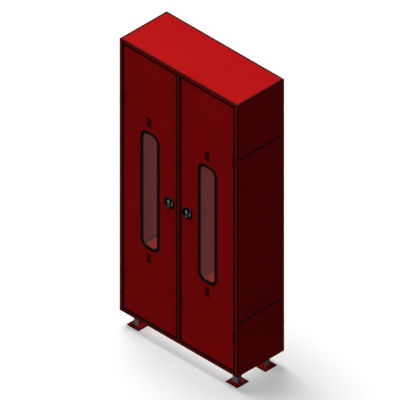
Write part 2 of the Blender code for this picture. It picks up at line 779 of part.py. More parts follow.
def make_body():
    make_plates()
    make_back_panel()
    make_rail("top", TOP, -1)
    make_rail("bottom", BASE, 1)
    make_mullion()
    make_partition()
    make_strike()
    for label, side in SIDES.items():
        make_side_panel(label, side)
        make_stile(label, side)
        make_seal(label, side)
        for level in SHELF_TOPS:
            make_shelf(level, label, side)
        for end_label, end in ENDS.items():
            make_leg(end_label, end, label, side)


def main():
    clear_scene()
    make_body()
    for label, side in SIDES.items():
        make_door(label, side)


main()
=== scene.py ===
"""Surfaces, studio and camera for a two-door steel fire cabinet on four angle legs.

Nearly every piece is built again here at a finer grain: sheet metal gets its fold
radii, turned pieces their roundings, rubber its moulded section. The window glass and
the hinge pins keep their own shape. Metres, +Z up, the doors face -Y. Places come
from the frame; a piece stays inside its node's box.
"""

import json
import math

import bmesh
import bpy
from mathutils import Matrix, Vector

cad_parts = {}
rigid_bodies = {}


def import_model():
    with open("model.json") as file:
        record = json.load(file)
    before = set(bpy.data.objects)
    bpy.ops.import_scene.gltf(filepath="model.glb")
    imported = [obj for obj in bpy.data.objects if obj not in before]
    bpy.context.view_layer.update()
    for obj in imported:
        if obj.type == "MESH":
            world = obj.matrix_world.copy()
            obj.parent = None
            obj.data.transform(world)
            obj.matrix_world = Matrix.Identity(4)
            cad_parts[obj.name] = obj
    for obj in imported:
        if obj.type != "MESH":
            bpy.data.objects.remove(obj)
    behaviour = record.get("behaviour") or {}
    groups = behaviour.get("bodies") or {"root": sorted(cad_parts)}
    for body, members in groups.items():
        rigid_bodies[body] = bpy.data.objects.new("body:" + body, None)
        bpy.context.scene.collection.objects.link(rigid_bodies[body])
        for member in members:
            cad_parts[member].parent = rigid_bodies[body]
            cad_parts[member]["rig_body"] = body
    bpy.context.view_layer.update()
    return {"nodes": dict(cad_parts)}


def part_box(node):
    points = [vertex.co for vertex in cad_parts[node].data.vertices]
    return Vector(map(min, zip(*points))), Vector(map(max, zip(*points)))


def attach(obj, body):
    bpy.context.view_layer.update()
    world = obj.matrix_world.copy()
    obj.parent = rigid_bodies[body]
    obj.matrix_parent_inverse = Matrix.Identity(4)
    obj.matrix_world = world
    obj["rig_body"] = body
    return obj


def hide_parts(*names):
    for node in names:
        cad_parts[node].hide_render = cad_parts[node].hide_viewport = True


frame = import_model()

# Sheet metal
SHEET = 0.0015
FOLD = 0.0022  # outer radius of a fold
GAP = 0.0003
CUT_EDGE = 0.0003  # rounding of a cut edge

# Face frame channels: the section is drawn from the body's outer edge inwards
FRAME_FACE = 0.023
FRAME_DEPTH = 0.028
FRAME_BACK_LEG = 0.010
STOP_FLANGE = 0.012
STILE_EDGE = 0.0005

# Side beads
BEAD_Z = (0.501, 1.703)
BEAD_HEIGHT = 0.016
BEAD_DEPTH = 0.005
BEAD_RUN = 0.0042  # how far the curved wall of a bead reaches inwards
BEAD_SPREAD = 0.0010  # the inner skin's bead is this much wider all round
BEAD_FRONT_INSET = 0.014
BEAD_BACK_INSET = 0.030
BEAD_STEPS = 10

LEG_THICKNESS = 0.004

# Doors
DOOR_LIP = 0.012
SEAL_THICKNESS = 0.003
SEAL_FOOT = 0.0028
STIFFENER_FLANGE = 0.012
HINGE_EDGE = 0.0004
HINGE_SHARP = math.radians(25)
GASKET_BAND = 0.022
GASKET_SKIN_GRIP = 0.008
GASKET_GLASS_GRIP = 0.008
GASKET_LIP = 0.003
WINDOW_CORNER = 0.040
GLASS_THICKNESS = 0.004
VENT_Z_OFFSET = 0.500
VENT_PITCH = 0.023
VENT_LENGTH = 0.036
VENT_HEIGHT = 0.012
VENT_X_OFFSET = {"left": -0.0105, "right": -0.0035}  # from the window's middle
VENT_FLANGE = 0.012  # how far a vent's edge turns inwards
VENT_LIP = 0.0012  # radius of the turn
VENT_WALL = 0.0010

# Latches
DISH_FLOOR = 0.003  # behind the door's front plane
DISH_WALL = 0.0017
DISH_BORE = 0.0053
DISH_BOSS = 0.010
DISH_LIGHT = (0.0105, 0.0250)  # the part of its floor left bright, from the axis; the rest of the cup is painted in shade
DISH_LIGHT_TOP = 0.008  # and no higher than this above the axis
DISH_FADE = 0.0009
GRIP_LENGTH = 0.051
GRIP_WIDTH = 0.017
GRIP_WAIST = 0.0016
FACE_DEPTH = 0.0006  # the grip's bright face is this deep; behind it the grip is painted in shade
KEY_RADIUS = 0.0042
KEY_DEPTH = 0.0015
KEYWAY = (0.0018, 0.0056)
PATCH_WIDTH = 0.0116  # patch painted in shade round the key recess
PATCH_HEIGHT = 0.0200
PATCH_DROP = 0.0050  # its middle below the axis
PATCH_FADE = 0.0003
SHANK_RADIUS = 0.005
SHANK_OVERLAP = 0.004  # how far the shank runs into the bar
STUD_RADIUS = 0.003
SQUARE = 0.0035  # half the side of the square that carries the cam
CAM_SQUARE = SQUARE + GAP
CAM_HUB = 0.011
CAM_TIP = 0.008
NUT_BORE = STUD_RADIUS + GAP

SIDES = {"left": -1, "right": 1}
TURN_STEPS = 96
CORNER_STEPS = 12
SMOOTH_ANGLE = math.radians(40)
MERGE = 1e-6

# Painted shade: dark bands painted into the colour along folds, edges and seams
BAND = 0.0105  # width of the painted-shade band beside a fold or an edge
PANEL_BAND = 0.008  # the same round a side sheet, clear of the beads
DOOR_BAND = 0.0052
SHELF_BAND = 0.0025
ROOF_BAND = 0.017
RIM_BAND = 0.0022
VENT_BAND = 0.0051
BEAD_BAND = 0.004
BEAD_SHADE = 0.35  # painted shade in a bead, as a share of the painted shade on a fold
LONG_SIDE = 0.010  # a longer side has room for a band at either end
FOLD_TURN = math.radians(5)  # a sharper turn than this between faces gets painted shade


# Materials


def feed(tree, socket, value):
    """Gives a socket a plain value or another node's output."""
    if isinstance(value, bpy.types.NodeSocket):
        tree.links.new(value, socket)
    else:
        socket.default_value = value


def add_node(tree, kind, **inputs):
    """Adds a shader node with these inputs."""
    node = tree.nodes.new(kind)
    for name, value in inputs.items():
        feed(tree, node.inputs[name.replace("_", " ")], value)
    return node


def new_material(name, colour, roughness, metallic=0.0, **plain):
    """A Principled material with these plain values; returns it, its tree and its shader."""
    made = bpy.data.materials.new(name)
    made.use_nodes = True
    shader = made.node_tree.nodes["Principled BSDF"]
    shader.inputs["Base Color"].default_value = (*colour, 1.0)
    shader.inputs["Roughness"].default_value = roughness
    shader.inputs["Metallic"].default_value = metallic
    for socket, value in plain.items():
        shader.inputs[socket.replace("_", " ")].default_value = value
    return made, made.node_tree, shader


def place_in_metres(tree, stretch=(1.0, 1.0, 1.0)):
    """Coordinates in the object's own frame, in metres, stretched along the axes."""
    where = tree.nodes.new("ShaderNodeTexCoord").outputs["Object"]
    mapping = add_node(tree, "ShaderNodeMapping", Vector=where, Scale=stretch)
    return mapping.outputs["Vector"]


def noise(tree, where, size, detail=2.0, roughness=0.5):
    """Noise whose features are about this many metres across."""
    made = add_node(
        tree, "ShaderNodeTexNoise", Vector=where, Scale=1.0 / size, Detail=detail, Roughness=roughness
    )
    return made.outputs["Fac"]


def spread(tree, value, low, high, start=0.3, end=0.7):
    """Maps a noise value from start..end to low..high."""
    made = add_node(
        tree, "ShaderNodeMapRange", Value=value, From_Min=start, From_Max=end, To_Min=low, To_Max=high
    )
    return made.outputs["Result"]


def blend(tree, share, first, second):
    """Mixes two colours; each is a colour or an output."""
    node = tree.nodes.new("ShaderNodeMix")
    node.data_type = "RGBA"
    feed(tree, node.inputs[0], share)
    for socket, value in ((node.inputs[6], first), (node.inputs[7], second)):
        feed(tree, socket, (*value, 1.0) if isinstance(value, tuple) else value)
    return node.outputs[2]


def joined(tree, operation, first, second):
    """A Math node on two values."""
    node = tree.nodes.new("ShaderNodeMath")
    node.operation = operation
    feed(tree, node.inputs[0], first)
    feed(tree, node.inputs[1], second)
    return node.outputs[0]


def cover(tree, shader, colour, roughness):
    """Gives the surface a colour and a roughness that vary."""
    tree.links.new(colour, shader.inputs["Base Color"])
    tree.links.new(roughness, shader.inputs["Roughness"])


def add_bump(tree, shader, height, distance):
    """Raises the surface by up to this distance, in metres, where the height value is 1."""
    bump = add_node(tree, "ShaderNodeBump", Height=height, Strength=1.0, Distance=distance)
    tree.links.new(bump.outputs["Normal"], shader.inputs["Normal"])


def painted_shade(tree, start, end):
    """The piece's painted shade, from 0 where its mark is start to 1 where it is end."""
    kept = tree.nodes.new("ShaderNodeAttribute")
    kept.attribute_name = "painted_shade"
    return spread(tree, kept.outputs["Fac"], 0.0, 1.0, start, end)


def make_red_paint():
    """Powder coat: deep red, orange peel, a faint cloudiness, and painted shade in near-black bands along
    folds, edges and seams.
    """
    made, tree, shader = new_material("red_powder_coat", (0.55, 0.004, 0.005), 0.45, Specular_IOR_Level=0.10)
    where = place_in_metres(tree)
    cloud = noise(tree, where, 0.35, 3.0)
    grain = noise(tree, where, 0.0012, 2.0)
    tone = blend(tree, spread(tree, cloud, 0.0, 1.0), (0.52, 0.0030, 0.0040), (0.58, 0.0036, 0.0046))
    tone = blend(tree, spread(tree, grain, 0.0, 0.12), tone, (0.38, 0.002, 0.003))
    patchy = spread(tree, noise(tree, where, 0.045, 4.0, 0.65), 0.84, 1.0)
    # painted shade: near-black bands along folds, edges and seams, broken by noise; they also raise the
    # roughness
    edge_shade = joined(tree, "MULTIPLY", painted_shade(tree, 0.08, 0.45), patchy)
    handled = noise(tree, where, 0.12, 4.0, 0.6)
    worn = joined(tree, "ADD", spread(tree, handled, 0.40, 0.52), spread(tree, grain, -0.03, 0.03))
    rough = joined(tree, "ADD", worn, joined(tree, "MULTIPLY", edge_shade, 0.2))
    cover(tree, shader, blend(tree, edge_shade, tone, (0.016, 0.004, 0.004)), rough)
    peel = noise(tree, where, 0.0034, 1.0)
    add_bump(tree, shader, joined(tree, "ADD", peel, joined(tree, "MULTIPLY", grain, 0.25)), 0.00010)
    return made


def make_bare_steel():
    """Hot-rolled angle: grey mill scale, drawn streaks, a little rust bloom."""
    made, tree, shader = new_material("mill_steel", (0.40, 0.44, 0.42), 0.5, 0.15)
    where = place_in_metres(tree)
    drawn = noise(tree, place_in_metres(tree, (1.0, 1.0, 0.08)), 0.002, 3.0)
    scale = noise(tree, where, 0.012, 5.0, 0.65)
    tone = blend(tree, spread(tree, scale, 0.0, 1.0), (0.30, 0.36, 0.33), (0.40, 0.47, 0.43))
    tone = blend(tree, spread(tree, drawn, 0.0, 0.5), tone, (0.24, 0.28, 0.26))
    rust = spread(tree, noise(tree, where, 0.02, 6.0, 0.7), 0.0, 0.5, 0.60, 0.75)
    cover(tree, shader, blend(tree, rust, tone, (0.12, 0.055, 0.03)), spread(tree, scale, 0.42, 0.62))
    add_bump(tree, shader, joined(tree, "ADD", drawn, scale), 0.00012)
    return made


def make_zinc():
    """Zinc plating: pale grey with a fine spangle."""
    made, tree, shader = new_material("zinc_plating", (0.62, 0.64, 0.66), 0.35, 1.0)
    where = place_in_metres(tree)
    cells = add_node(tree, "ShaderNodeTexVoronoi", Vector=where, Scale=260.0)
    grey = add_node(tree, "ShaderNodeSeparateColor", Color=cells.outputs["Color"]).outputs[0]
    tone = blend(tree, grey, (0.50, 0.52, 0.55), (0.70, 0.72, 0.73))
    cover(tree, shader, tone, spread(tree, grey, 0.28, 0.44, 0.0, 1.0))
    add_bump(tree, shader, noise(tree, where, 0.0006, 2.0), 0.00003)
    return made


def make_latch_silver():
    """Satin die casting: bright silver, painted near black with shade in its hollows and on the grip's
    sides.
    """
    made, tree, shader = new_material("satin_casting", (0.76, 0.79, 0.77), 0.34, 0.45)
    where = place_in_metres(tree)
    cloud = noise(tree, where, 0.009, 3.0)
    grain = noise(tree, where, 0.0005, 3.0)
    tone = blend(tree, spread(tree, cloud, 0.0, 1.0), (0.84, 0.88, 0.86), (0.96, 0.98, 0.97))
    # painted shade: near black in the cup's hollows and on the grip's sides
    shaded_tone = blend(tree, painted_shade(tree, 0.2, 0.8), tone, (0.010, 0.011, 0.011))
    cover(tree, shader, shaded_tone, spread(tree, cloud, 0.30, 0.46))
    add_bump(tree, shader, grain, 0.00003)
    return made


def make_black_plastic():
    """Moulded plastic with a fine spark-eroded grain."""
    made, tree, shader = new_material("moulded_black", (0.010, 0.010, 0.011), 0.45, Specular_IOR_Level=0.3)
    where = place_in_metres(tree)
    grain = noise(tree, where, 0.0007, 3.0)
    worn = noise(tree, where, 0.018, 3.0)
    tone = blend(tree, spread(tree, worn, 0.0, 1.0), (0.006, 0.006, 0.007), (0.014, 0.014, 0.015))
    cover(tree, shader, tone, spread(tree, worn, 0.34, 0.52))
    add_bump(tree, shader, grain, 0.00005)
    return made


def make_black_rubber():
    """EPDM rubber: matt black with a dusty bloom."""
    made, tree, shader = new_material("epdm_rubber", (0.005, 0.005, 0.005), 0.72, Specular_IOR_Level=0.2)
    where = place_in_metres(tree)
    bloom = noise(tree, where, 0.03, 5.0, 0.6)
    grain = noise(tree, where, 0.0009, 3.0)
    tone = blend(tree, spread(tree, bloom, 0.0, 1.0), (0.003, 0.003, 0.003), (0.009, 0.009, 0.008))
    cover(tree, shader, tone, spread(tree, bloom, 0.62, 0.82))
    add_bump(tree, shader, grain, 0.00006)
    return made


def make_window_glass():
    """Clear glass with a grey cast and faint wipe marks."""
    made, tree, shader = new_material("grey_glass", (0.29, 0.29, 0.29), 0.04, Alpha=0.25, IOR=1.5)
    wiped = noise(tree, place_in_metres(tree, (1.0, 1.0, 0.35)), 0.05, 4.0, 0.6)
    tone = blend(tree, spread(tree, wiped, 0.0, 1.0), (0.265, 0.265, 0.265), (0.32, 0.32, 0.32))
    cover(tree, shader, tone, spread(tree, wiped, 0.03, 0.09))
    return made


MATERIALS = {
    "red_paint": make_red_paint(),
    "bare_steel": make_bare_steel(),
    "zinc": make_zinc(),
    "latch_silver": make_latch_silver(),
    "black_plastic": make_black_plastic(),
    "black_rubber": make_black_rubber(),
    "window_glass": make_window_glass(),
}


# Mesh helpers. place(u, v, w) puts an outline point u, v at depth w.


def close(shape):
    """Merges touching vertices of a closed bmesh and turns its faces outwards."""
    bmesh.ops.remove_doubles(shape, verts=shape.verts, dist=MERGE)
    bmesh.ops.recalc_face_normals(shape, faces=shape.faces)
    if shape.calc_volume(signed=True) < 0:
        bmesh.ops.reverse_faces(shape, faces=shape.faces)


def as_piece(shape, name="shape"):
    """An object made from a closed bmesh."""
    close(shape)
    mesh = bpy.data.meshes.new(name)
    shape.to_mesh(mesh)
    shape.free()
    piece = bpy.data.objects.new(name, mesh)
    bpy.context.scene.collection.objects.link(piece)
    return piece


def show(shape, node, slot, shade_mask=None):
    """Turns a closed bmesh into the piece that stands for a CAD node, on the node's body."""
    dress(as_piece(shape, f"{node}_finished"), node, slot, shade_mask)


def gather_painted_shade(mesh, on_folds, shade_mask=None):
    """Marks each vertex with its painted shade: the mask's value, or where that is None 1 on folds, if
    asked.
    """
    shape = bmesh.new()
    shape.from_mesh(mesh)
    shape.normal_update()
    marks = []
    for vert in shape.verts:
        share = shade_mask(vert) if shade_mask else None
        if share is None:
            turn = max((edge.calc_face_angle(math.pi) for edge in vert.link_edges), default=0.0)
            share = on_folds and turn > FOLD_TURN
        marks.append(float(share))
    shape.free()
    mesh.attributes.new("painted_shade", "FLOAT", "POINT").data.foreach_set("value", marks)


def dress(piece, node, slot, shade_mask=None):
    """Shades a piece, gives it its material and its node's body, and hides the node that it stands for."""
    piece.data.materials.clear()
    piece.data.materials.append(MATERIALS[slot])
    piece.data.shade_smooth()
    piece.data.set_sharp_from_angle(angle=SMOOTH_ANGLE)
    # red paint and satin casting carry a per-vertex mark of painted shade
    if slot in ("red_paint", "latch_silver"):
        gather_painted_shade(piece.data, slot == "red_paint", shade_mask)
    level = piece.modifiers.new("even_normals", "WEIGHTED_NORMAL")
    level.keep_sharp = True
    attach(piece, frame["nodes"][node]["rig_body"])
    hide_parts(node)


def keep(node, slot):
    """Keeps a CAD node and gives it this slot's material."""
    frame["nodes"][node].data.materials.clear()
    frame["nodes"][node].data.materials.append(MATERIALS[slot])


def ring(shape, place, points, depth):
    """New vertices at an outline's points."""
    return [shape.verts.new(place(u, v, depth)) for u, v in points]


def bridge(shape, loops, closed=False):
    """Joins each loop of vertices with the next, and the last with the first if closed."""
    pairs = list(zip(loops, loops[1:]))
    if closed:
        pairs.append((loops[-1], loops[0]))
    for first, second in pairs:
        for i in range(len(first)):
            j = (i + 1) % len(first)
            shape.faces.new((first[i], first[j], second[j], second[i]))


def cap(shape, place):
    """Fills every flat opening square to the depth direction, leaving its holes."""
    bmesh.ops.remove_doubles(shape, verts=shape.verts, dist=MERGE)
    origin = Vector(place(0, 0, 0))
    axis = Vector(place(0, 0, 1)) - origin
    levels = {}
    for edge in shape.edges:
        if edge.is_boundary:
            depth = round((edge.verts[0].co - origin).dot(axis), 5)
            levels.setdefault(depth, []).append(edge)
    for edges in levels.values():
        bmesh.ops.triangle_fill(shape, use_beauty=True, edges=edges, normal=axis)


def arc_points(centre, radius, start, end, steps=5):
    """Points of an arc from one angle to another, in degrees."""
    angles = (math.radians(start + (end - start) * i / steps) for i in range(steps + 1))
    return [(centre[0] + radius * math.cos(a), centre[1] + radius * math.sin(a)) for a in angles]


def circle(radius, steps=TURN_STEPS):
    return arc_points((0.0, 0.0), radius, 0, 360, steps)[:-1]


def outline(width, height, radius, grow=0.0, centre=(0.0, 0.0), steps=CORNER_STEPS):
    """A rounded rectangle grown outwards; past its corner centres it has square corners.

    Each long side also has a point a band's width from either end.
    """
    points = []
    size = radius + grow
    room = width - 2 * radius, height - 2 * radius
    for index, (sign_u, sign_v) in enumerate(((1, 1), (-1, 1), (-1, -1), (1, -1))):
        corner_u = centre[0] + sign_u * (width / 2 - radius)
        corner_v = centre[1] + sign_v * (height / 2 - radius)
        corner = []
        for step in range(steps + 1):
            angle = (index + step / steps) * math.pi / 2
            if size > 0:
                across, up = size * math.cos(angle), size * math.sin(angle)
            else:
                across, up = size * sign_u, size * sign_v
            corner.append((corner_u + across, corner_v + up))
        inwards = [(0, -sign_v), (-sign_u, 0)]
        if index % 2:
            inwards.reverse()
        extra = []
        for (u, v), (along_u, along_v) in zip((corner[0], corner[-1]), inwards):
            free = room[0] if along_u else room[1]
            band = min(BAND, free / 3)
            extra.append([(u + along_u * band, v + along_v * band)] if free > LONG_SIDE else [])
        points += extra[0] + corner + extra[1]
    return points


def filleted(corners, steps=5):
    """A closed outline of (u, v, radius) corners, each rounded by its radius.

    Each long side also has a point a band's width from either end.
    """
    arcs = []
    for i, (u, v, radius) in enumerate(corners):
        here = Vector((u, v))
        if not radius:
            arcs.append([(u, v)])
            continue
        before = Vector(corners[i - 1][:2]) - here
        after = Vector(corners[(i + 1) % len(corners)][:2]) - here
        half = before.angle(after) / 2
        cut = min(radius / math.tan(half), 0.49 * before.length, 0.49 * after.length)
        middle = (before.normalized() + after.normalized()).normalized()
        centre = here + middle * (cut / math.cos(half))
        start = here + before.normalized() * cut - centre
        turn = start.angle_signed(here + after.normalized() * cut - centre)
        arc = []
        for step in range(steps + 1):
            arm = start.copy()
            arm.rotate(Matrix.Rotation(-turn * step / steps, 2))
            arc.append(tuple(centre + arm))
        arcs.append(arc)
    points = []
    for arc, following in zip(arcs, arcs[1:] + arcs[:1]):
        points += arc
        start, end = Vector(arc[-1]), Vector(following[0])
        length = (end - start).length
        if length > LONG_SIDE:
            share = min(BAND / length, 1 / 3)
            points += [tuple(start.lerp(end, part)) for part in (share, 1 - share)]
    return points


def mirrored(corners):
    """Corners, then the same ones in a mirror across v, in one closed outline."""
    return corners + [(-u, v, radius) for u, v, radius in reversed(corners)]


def square(half, radius):
    """Corners of a square for filleted()."""
    return [(u * half, v * half, radius) for u, v in ((1, 1), (-1, 1), (-1, -1), (1, -1))]


def offset(points, distance):
    """Moves the sides of a closed outline outwards by this distance."""
    area = sum(a[0] * b[1] - b[0] * a[1] for a, b in zip(points, points[1:] + points[:1]))
    facing = distance if area > 0 else -distance
    moved = []
    for i, here in enumerate(points):
        before = (Vector(here) - Vector(points[i - 1])).normalized()
        after = (Vector(points[(i + 1) % len(points)]) - Vector(here)).normalized()
        first, second = Vector((before.y, -before.x)), Vector((after.y, -after.x))
        step = (first + second) * facing / (1 + first.dot(second))
        moved.append((here[0] + step.x, here[1] + step.y))
    return moved


def rounded_ends(start, end, radius, face_band=0.0):
    """(inset, depth) steps of a wall from start to end whose two edges are rounded.

    A face band adds a ring that far in on each end face. A long wall gets one near each end.
    """
    turn = [(radius * (1 - math.sin(a)), radius * (1 - math.cos(a))) for a in (0, 0.52, 1.05, math.pi / 2)]
    near = [(inset, start + depth) for inset, depth in turn]
    far = [(inset, end - depth) for inset, depth in reversed(turn)]
    if end - start > 4 * BAND:
        near.append((0.0, start + BAND))
        far.insert(0, (0.0, end - BAND))
    if face_band:
        near.insert(0, (face_band, start))
        far.append((face_band, end))
    return near + far


def solid(place, boundary, start, end, edge=CUT_EDGE, holes=()):
    """An outline extruded from start to end, with holes and rounded end edges."""
    shape = bmesh.new()
    steps = rounded_ends(start, end, edge)
    for points, way in [(boundary, -1), *((hole, 1) for hole in holes)]:
        bridge(shape, [ring(shape, place, offset(points, way * inset), w) for inset, w in steps])
    cap(shape, place)
    return shape


def swept(place, section, width, height, radius, steps):
    """A closed section of (grow, depth) points carried round a rounded rectangle."""
    shape = bmesh.new()
    loops = [ring(shape, place, outline(width, height, radius, g, steps=steps), w) for g, w in section]
    bridge(shape, loops, closed=True)
    return shape


def turned(place, profile, steps=TURN_STEPS):
    """A closed profile of (radius, depth) points turned about the depth direction."""
    shape = bmesh.new()
    loops = [ring(shape, place, circle(radius, steps=steps), depth) for radius, depth in profile]
    bridge(shape, loops, closed=True)
    return shape


def pan(place, width, height, depth, lip=0.0, holes=(), band=DOOR_BAND):
    """A folded tray: a sheet with its four edges turned back, and an inward lip if one is given.

    Each hole is (centre, width, height, corner radius, flange) on the tray's face. A flange
    turns the hole's edge inwards by that much; its fold is painted in shade.
    """
    shape = bmesh.new()
    inner = FOLD - SHEET
    section = [(-FOLD - band, 0)] + arc_points((-FOLD, FOLD), FOLD, -90, 0)
    side_band = min(band, (depth - 2 * FOLD) / 4)
    section += [(0, FOLD + side_band), (0, depth - FOLD - side_band)]
    if lip:
        section += arc_points((-FOLD, depth - FOLD), FOLD, 0, 90)
        section += [(CUT_EDGE - lip, depth), (-lip, depth - CUT_EDGE)]
        section += [(-lip, depth - SHEET + CUT_EDGE), (CUT_EDGE - lip, depth - SHEET)]
        section += arc_points((-FOLD, depth - FOLD), inner, 90, 0)
    else:
        section += [(0, depth - CUT_EDGE), (-CUT_EDGE, depth)]
        section += [(CUT_EDGE - SHEET, depth), (-SHEET, depth - CUT_EDGE)]
    section += arc_points((-FOLD, FOLD), inner, 0, -90) + [(-FOLD - band, SHEET)]
    bridge(shape, [ring(shape, place, outline(width, height, FOLD, g, steps=5), w) for g, w in section])
    for centre, across, up, radius, flange in holes:
        rim = rounded_ends(0, SHEET, CUT_EDGE, RIM_BAND)
        if flange:
            turn = VENT_LIP * 0.3
            mouth = [(VENT_BAND, 0.0), (VENT_LIP, 0.0), (turn, turn), (0.0, VENT_LIP)]
            wall = [(0.0, flange), (VENT_WALL, flange), (VENT_WALL, SHEET), (VENT_WALL + VENT_BAND, SHEET)]
            rim = mouth + wall
        loops = [ring(shape, place, outline(across, up, radius, inset, centre), w) for inset, w in rim]
        bridge(shape, loops)
    cap(shape, place)
    return shape


def combined(node, slot, start, added=(), cut=(), shade_mask=None):
    """Shows one piece made of a first shape, others joined to it and others cut away."""
    piece = as_piece(start, f"{node}_finished")
    for operation, shapes in (("UNION", added), ("DIFFERENCE", cut)):
        for shape in shapes:
            tool = as_piece(shape)
            modifier = piece.modifiers.new(operation, "BOOLEAN")
            modifier.operation = operation
            modifier.solver = "EXACT"
            modifier.object = tool
            bpy.context.view_layer.update()
            graph = bpy.context.evaluated_depsgraph_get()
            result = bpy.data.meshes.new_from_object(piece.evaluated_get(graph))
            piece.modifiers.clear()
            piece.data = result
            bpy.data.objects.remove(tool, do_unlink=True)
    piece.data.name = piece.name
    dress(piece, node, slot, shade_mask)


def block(low, high):
    """A plain box for cutting."""
    shape = bmesh.new()
    low, high = Vector(low), Vector(high)
    size = Matrix.Diagonal((*(high - low), 1.0))
    bmesh.ops.create_cube(shape, size=1.0, matrix=Matrix.Translation((low + high) / 2) @ size)
    return shape


# Body


def flat_sheet(node, axis, slot="red_paint", corner=0.001, edge=0.0005, band=BAND):
    """A flat rectangular sheet that fills its node's box, with rounded corners and edges."""
    low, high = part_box(node)
    u_axis, v_axis = [i for i in range(3) if i != axis]

    def place(u, v, w):
        point = [0.0, 0.0, 0.0]
        point[u_axis], point[v_axis], point[axis] = u, v, w
        return point

    size, centre = high - low, (low + high) / 2
    middle = (centre[u_axis], centre[v_axis])
    shape = bmesh.new()
    loops = []
    for inset, depth in rounded_ends(low[axis], high[axis], edge, band):
        points = outline(size[u_axis], size[v_axis], corner, -inset, middle, 4)
        loops.append(ring(shape, place, points, depth))
    bridge(shape, loops)
    cap(shape, place)
    show(shape, node, slot)


def side_panel(label, side):
    """A side sheet with two long beads pressed inwards, which are painted in shade."""
    node = f"{label}_side_panel"
    low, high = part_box(node)
    outer_x = low.x if side < 0 else high.x
    place = lambda u, v, w: (outer_x - side * w, u, v)
    shape = bmesh.new()
    centre = ((low.y + high.y) / 2, (low.z + high.z) / 2)
    size = high - low
    loops = []
    for inset, depth in rounded_ends(0, SHEET, CUT_EDGE, PANEL_BAND):
        points = outline(size.y, size.z, STILE_EDGE, -inset, centre, 3)
        loops.append(ring(shape, place, points, depth))
    bridge(shape, loops)
    front, back = low.y + BEAD_FRONT_INSET - SHEET, high.y - BEAD_BACK_INSET + SHEET
    for z in BEAD_Z:
        for level, grow in ((0.0, 0.0), (SHEET, BEAD_SPREAD)):
            loops = []
            for step in range(-1, BEAD_STEPS + 1):
                share = max(step, 0) / BEAD_STEPS
                depth = level + BEAD_DEPTH * share * share * (3 - 2 * share)
                wide = BEAD_BAND if step < 0 else -BEAD_RUN * share
                middle = ((front + back) / 2, z)
                bead = outline(back - front, BEAD_HEIGHT, BEAD_HEIGHT / 2, grow + wide, middle)
                loops.append(ring(shape, place, bead, depth))
            bridge(shape, loops)
    cap(shape, place)

    # painted shade over each bead's groove
    def in_bead(vert):
        radius = BEAD_HEIGHT / 2
        along = max(front + radius - vert.co.y, vert.co.y - back + radius, 0.0)
        reach = min(math.hypot(along, vert.co.z - z) for z in BEAD_Z)
        return BEAD_SHADE if reach < radius + MERGE else None

    show(shape, node, "red_paint", in_bead)


def channel_section(is_stile):
    """A frame channel, across from the body's edge and back from its front plane.

    A stile's face runs on over the side sheet's edge; a rail's ends at the fold.
    """
    leg = SHEET + GAP
    web = FRAME_FACE
    far = FRAME_FACE + STOP_FLANGE
    inner = FOLD - SHEET
    section = [
        (web, 0, FOLD),
        (web, FRAME_DEPTH - SHEET, inner),
        (far, FRAME_DEPTH - SHEET, CUT_EDGE),
        (far, FRAME_DEPTH, CUT_EDGE),
        (web - SHEET, FRAME_DEPTH, FOLD),
        (web - SHEET, SHEET, inner),
        (leg + SHEET, SHEET, inner),
        (leg + SHEET, FRAME_BACK_LEG, CUT_EDGE),
        (leg, FRAME_BACK_LEG, CUT_EDGE),
    ]
    if is_stile:
        return section + [(leg, SHEET, CUT_EDGE), (0, SHEET, CUT_EDGE), (0, 0, STILE_EDGE)]
    return section + [(leg, 0, FOLD)]


def flange_cutters(near, far, low, high):
    """Boxes from near to far in x that shorten a stop flange at both ends of an upright."""
    low_x, high_x = sorted((near, far))
    front = low.y + FRAME_DEPTH / 8
    back = low.y + FRAME_DEPTH + SHEET
    reach = FRAME_FACE + STOP_FLANGE + GAP
    bottom, top = frame_low(), frame_high()
    yield block((low_x, front, low.z - SHEET), (high_x, back, bottom + reach))
    yield block((low_x, front, top - reach), (high_x, back, high.z + SHEET))


def frame_low():
    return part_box("floor_panel")[0].z


def frame_high():
    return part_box("roof_panel")[1].z


def stile(label, side):
    low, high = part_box(f"{label}_stile")
    edge = low.x if side < 0 else high.x
    section = [(edge - side * u, low.y + v) for u, v in filleted(channel_section(True))]
    upright = solid(lambda u, v, w: (u, v, w), section, low.z, high.z)
    near = edge - side * FRAME_FACE
    cutters = flange_cutters(near, near - side * (STOP_FLANGE + SHEET), low, high)
    combined(f"{label}_stile", "red_paint", upright, cut=cutters)


def rail(node, edge, inwards):
    """A channel across the frame, its flange notched for the mullion."""
    low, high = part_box(node)
    section = [(low.y + v, edge + inwards * u) for u, v in filleted(channel_section(False))]
    beam = solid(lambda u, v, w: (w, u, v), section, low.x, high.x)
    notch = FRAME_FACE / 2 + GAP
    near = edge + inwards * FRAME_FACE
    bottom, top = sorted((near, near + inwards * (STOP_FLANGE + SHEET)))
    front, back = low.y + FRAME_DEPTH / 8, high.y + SHEET
    combined(node, "red_paint", beam, cut=[block((-notch, front, bottom), (notch, back, top))])


def mullion():
    """The upright channel between the doors, with a stop flange on either side."""
    low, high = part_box("centre_mullion")
    half = FRAME_FACE / 2
    inner = FOLD - SHEET
    right = [
        (half, 0, FOLD),
        (half, FRAME_DEPTH - SHEET, inner),
        (half + STOP_FLANGE, FRAME_DEPTH - SHEET, CUT_EDGE),
        (half + STOP_FLANGE, FRAME_DEPTH, CUT_EDGE),
        (half - SHEET, FRAME_DEPTH, FOLD),
        (half - SHEET, SHEET, inner),
    ]
    section = [(u, low.y + v) for u, v in filleted(mirrored(right))]
    upright = solid(lambda u, v, w: (u, v, w), section, low.z, high.z)
    cutters = []
    for side in SIDES.values():
        far = side * (half + STOP_FLANGE + SHEET)
        cutters += flange_cutters(side * half, far, low, high)
    combined("centre_mullion", "red_paint", upright, cut=cutters)


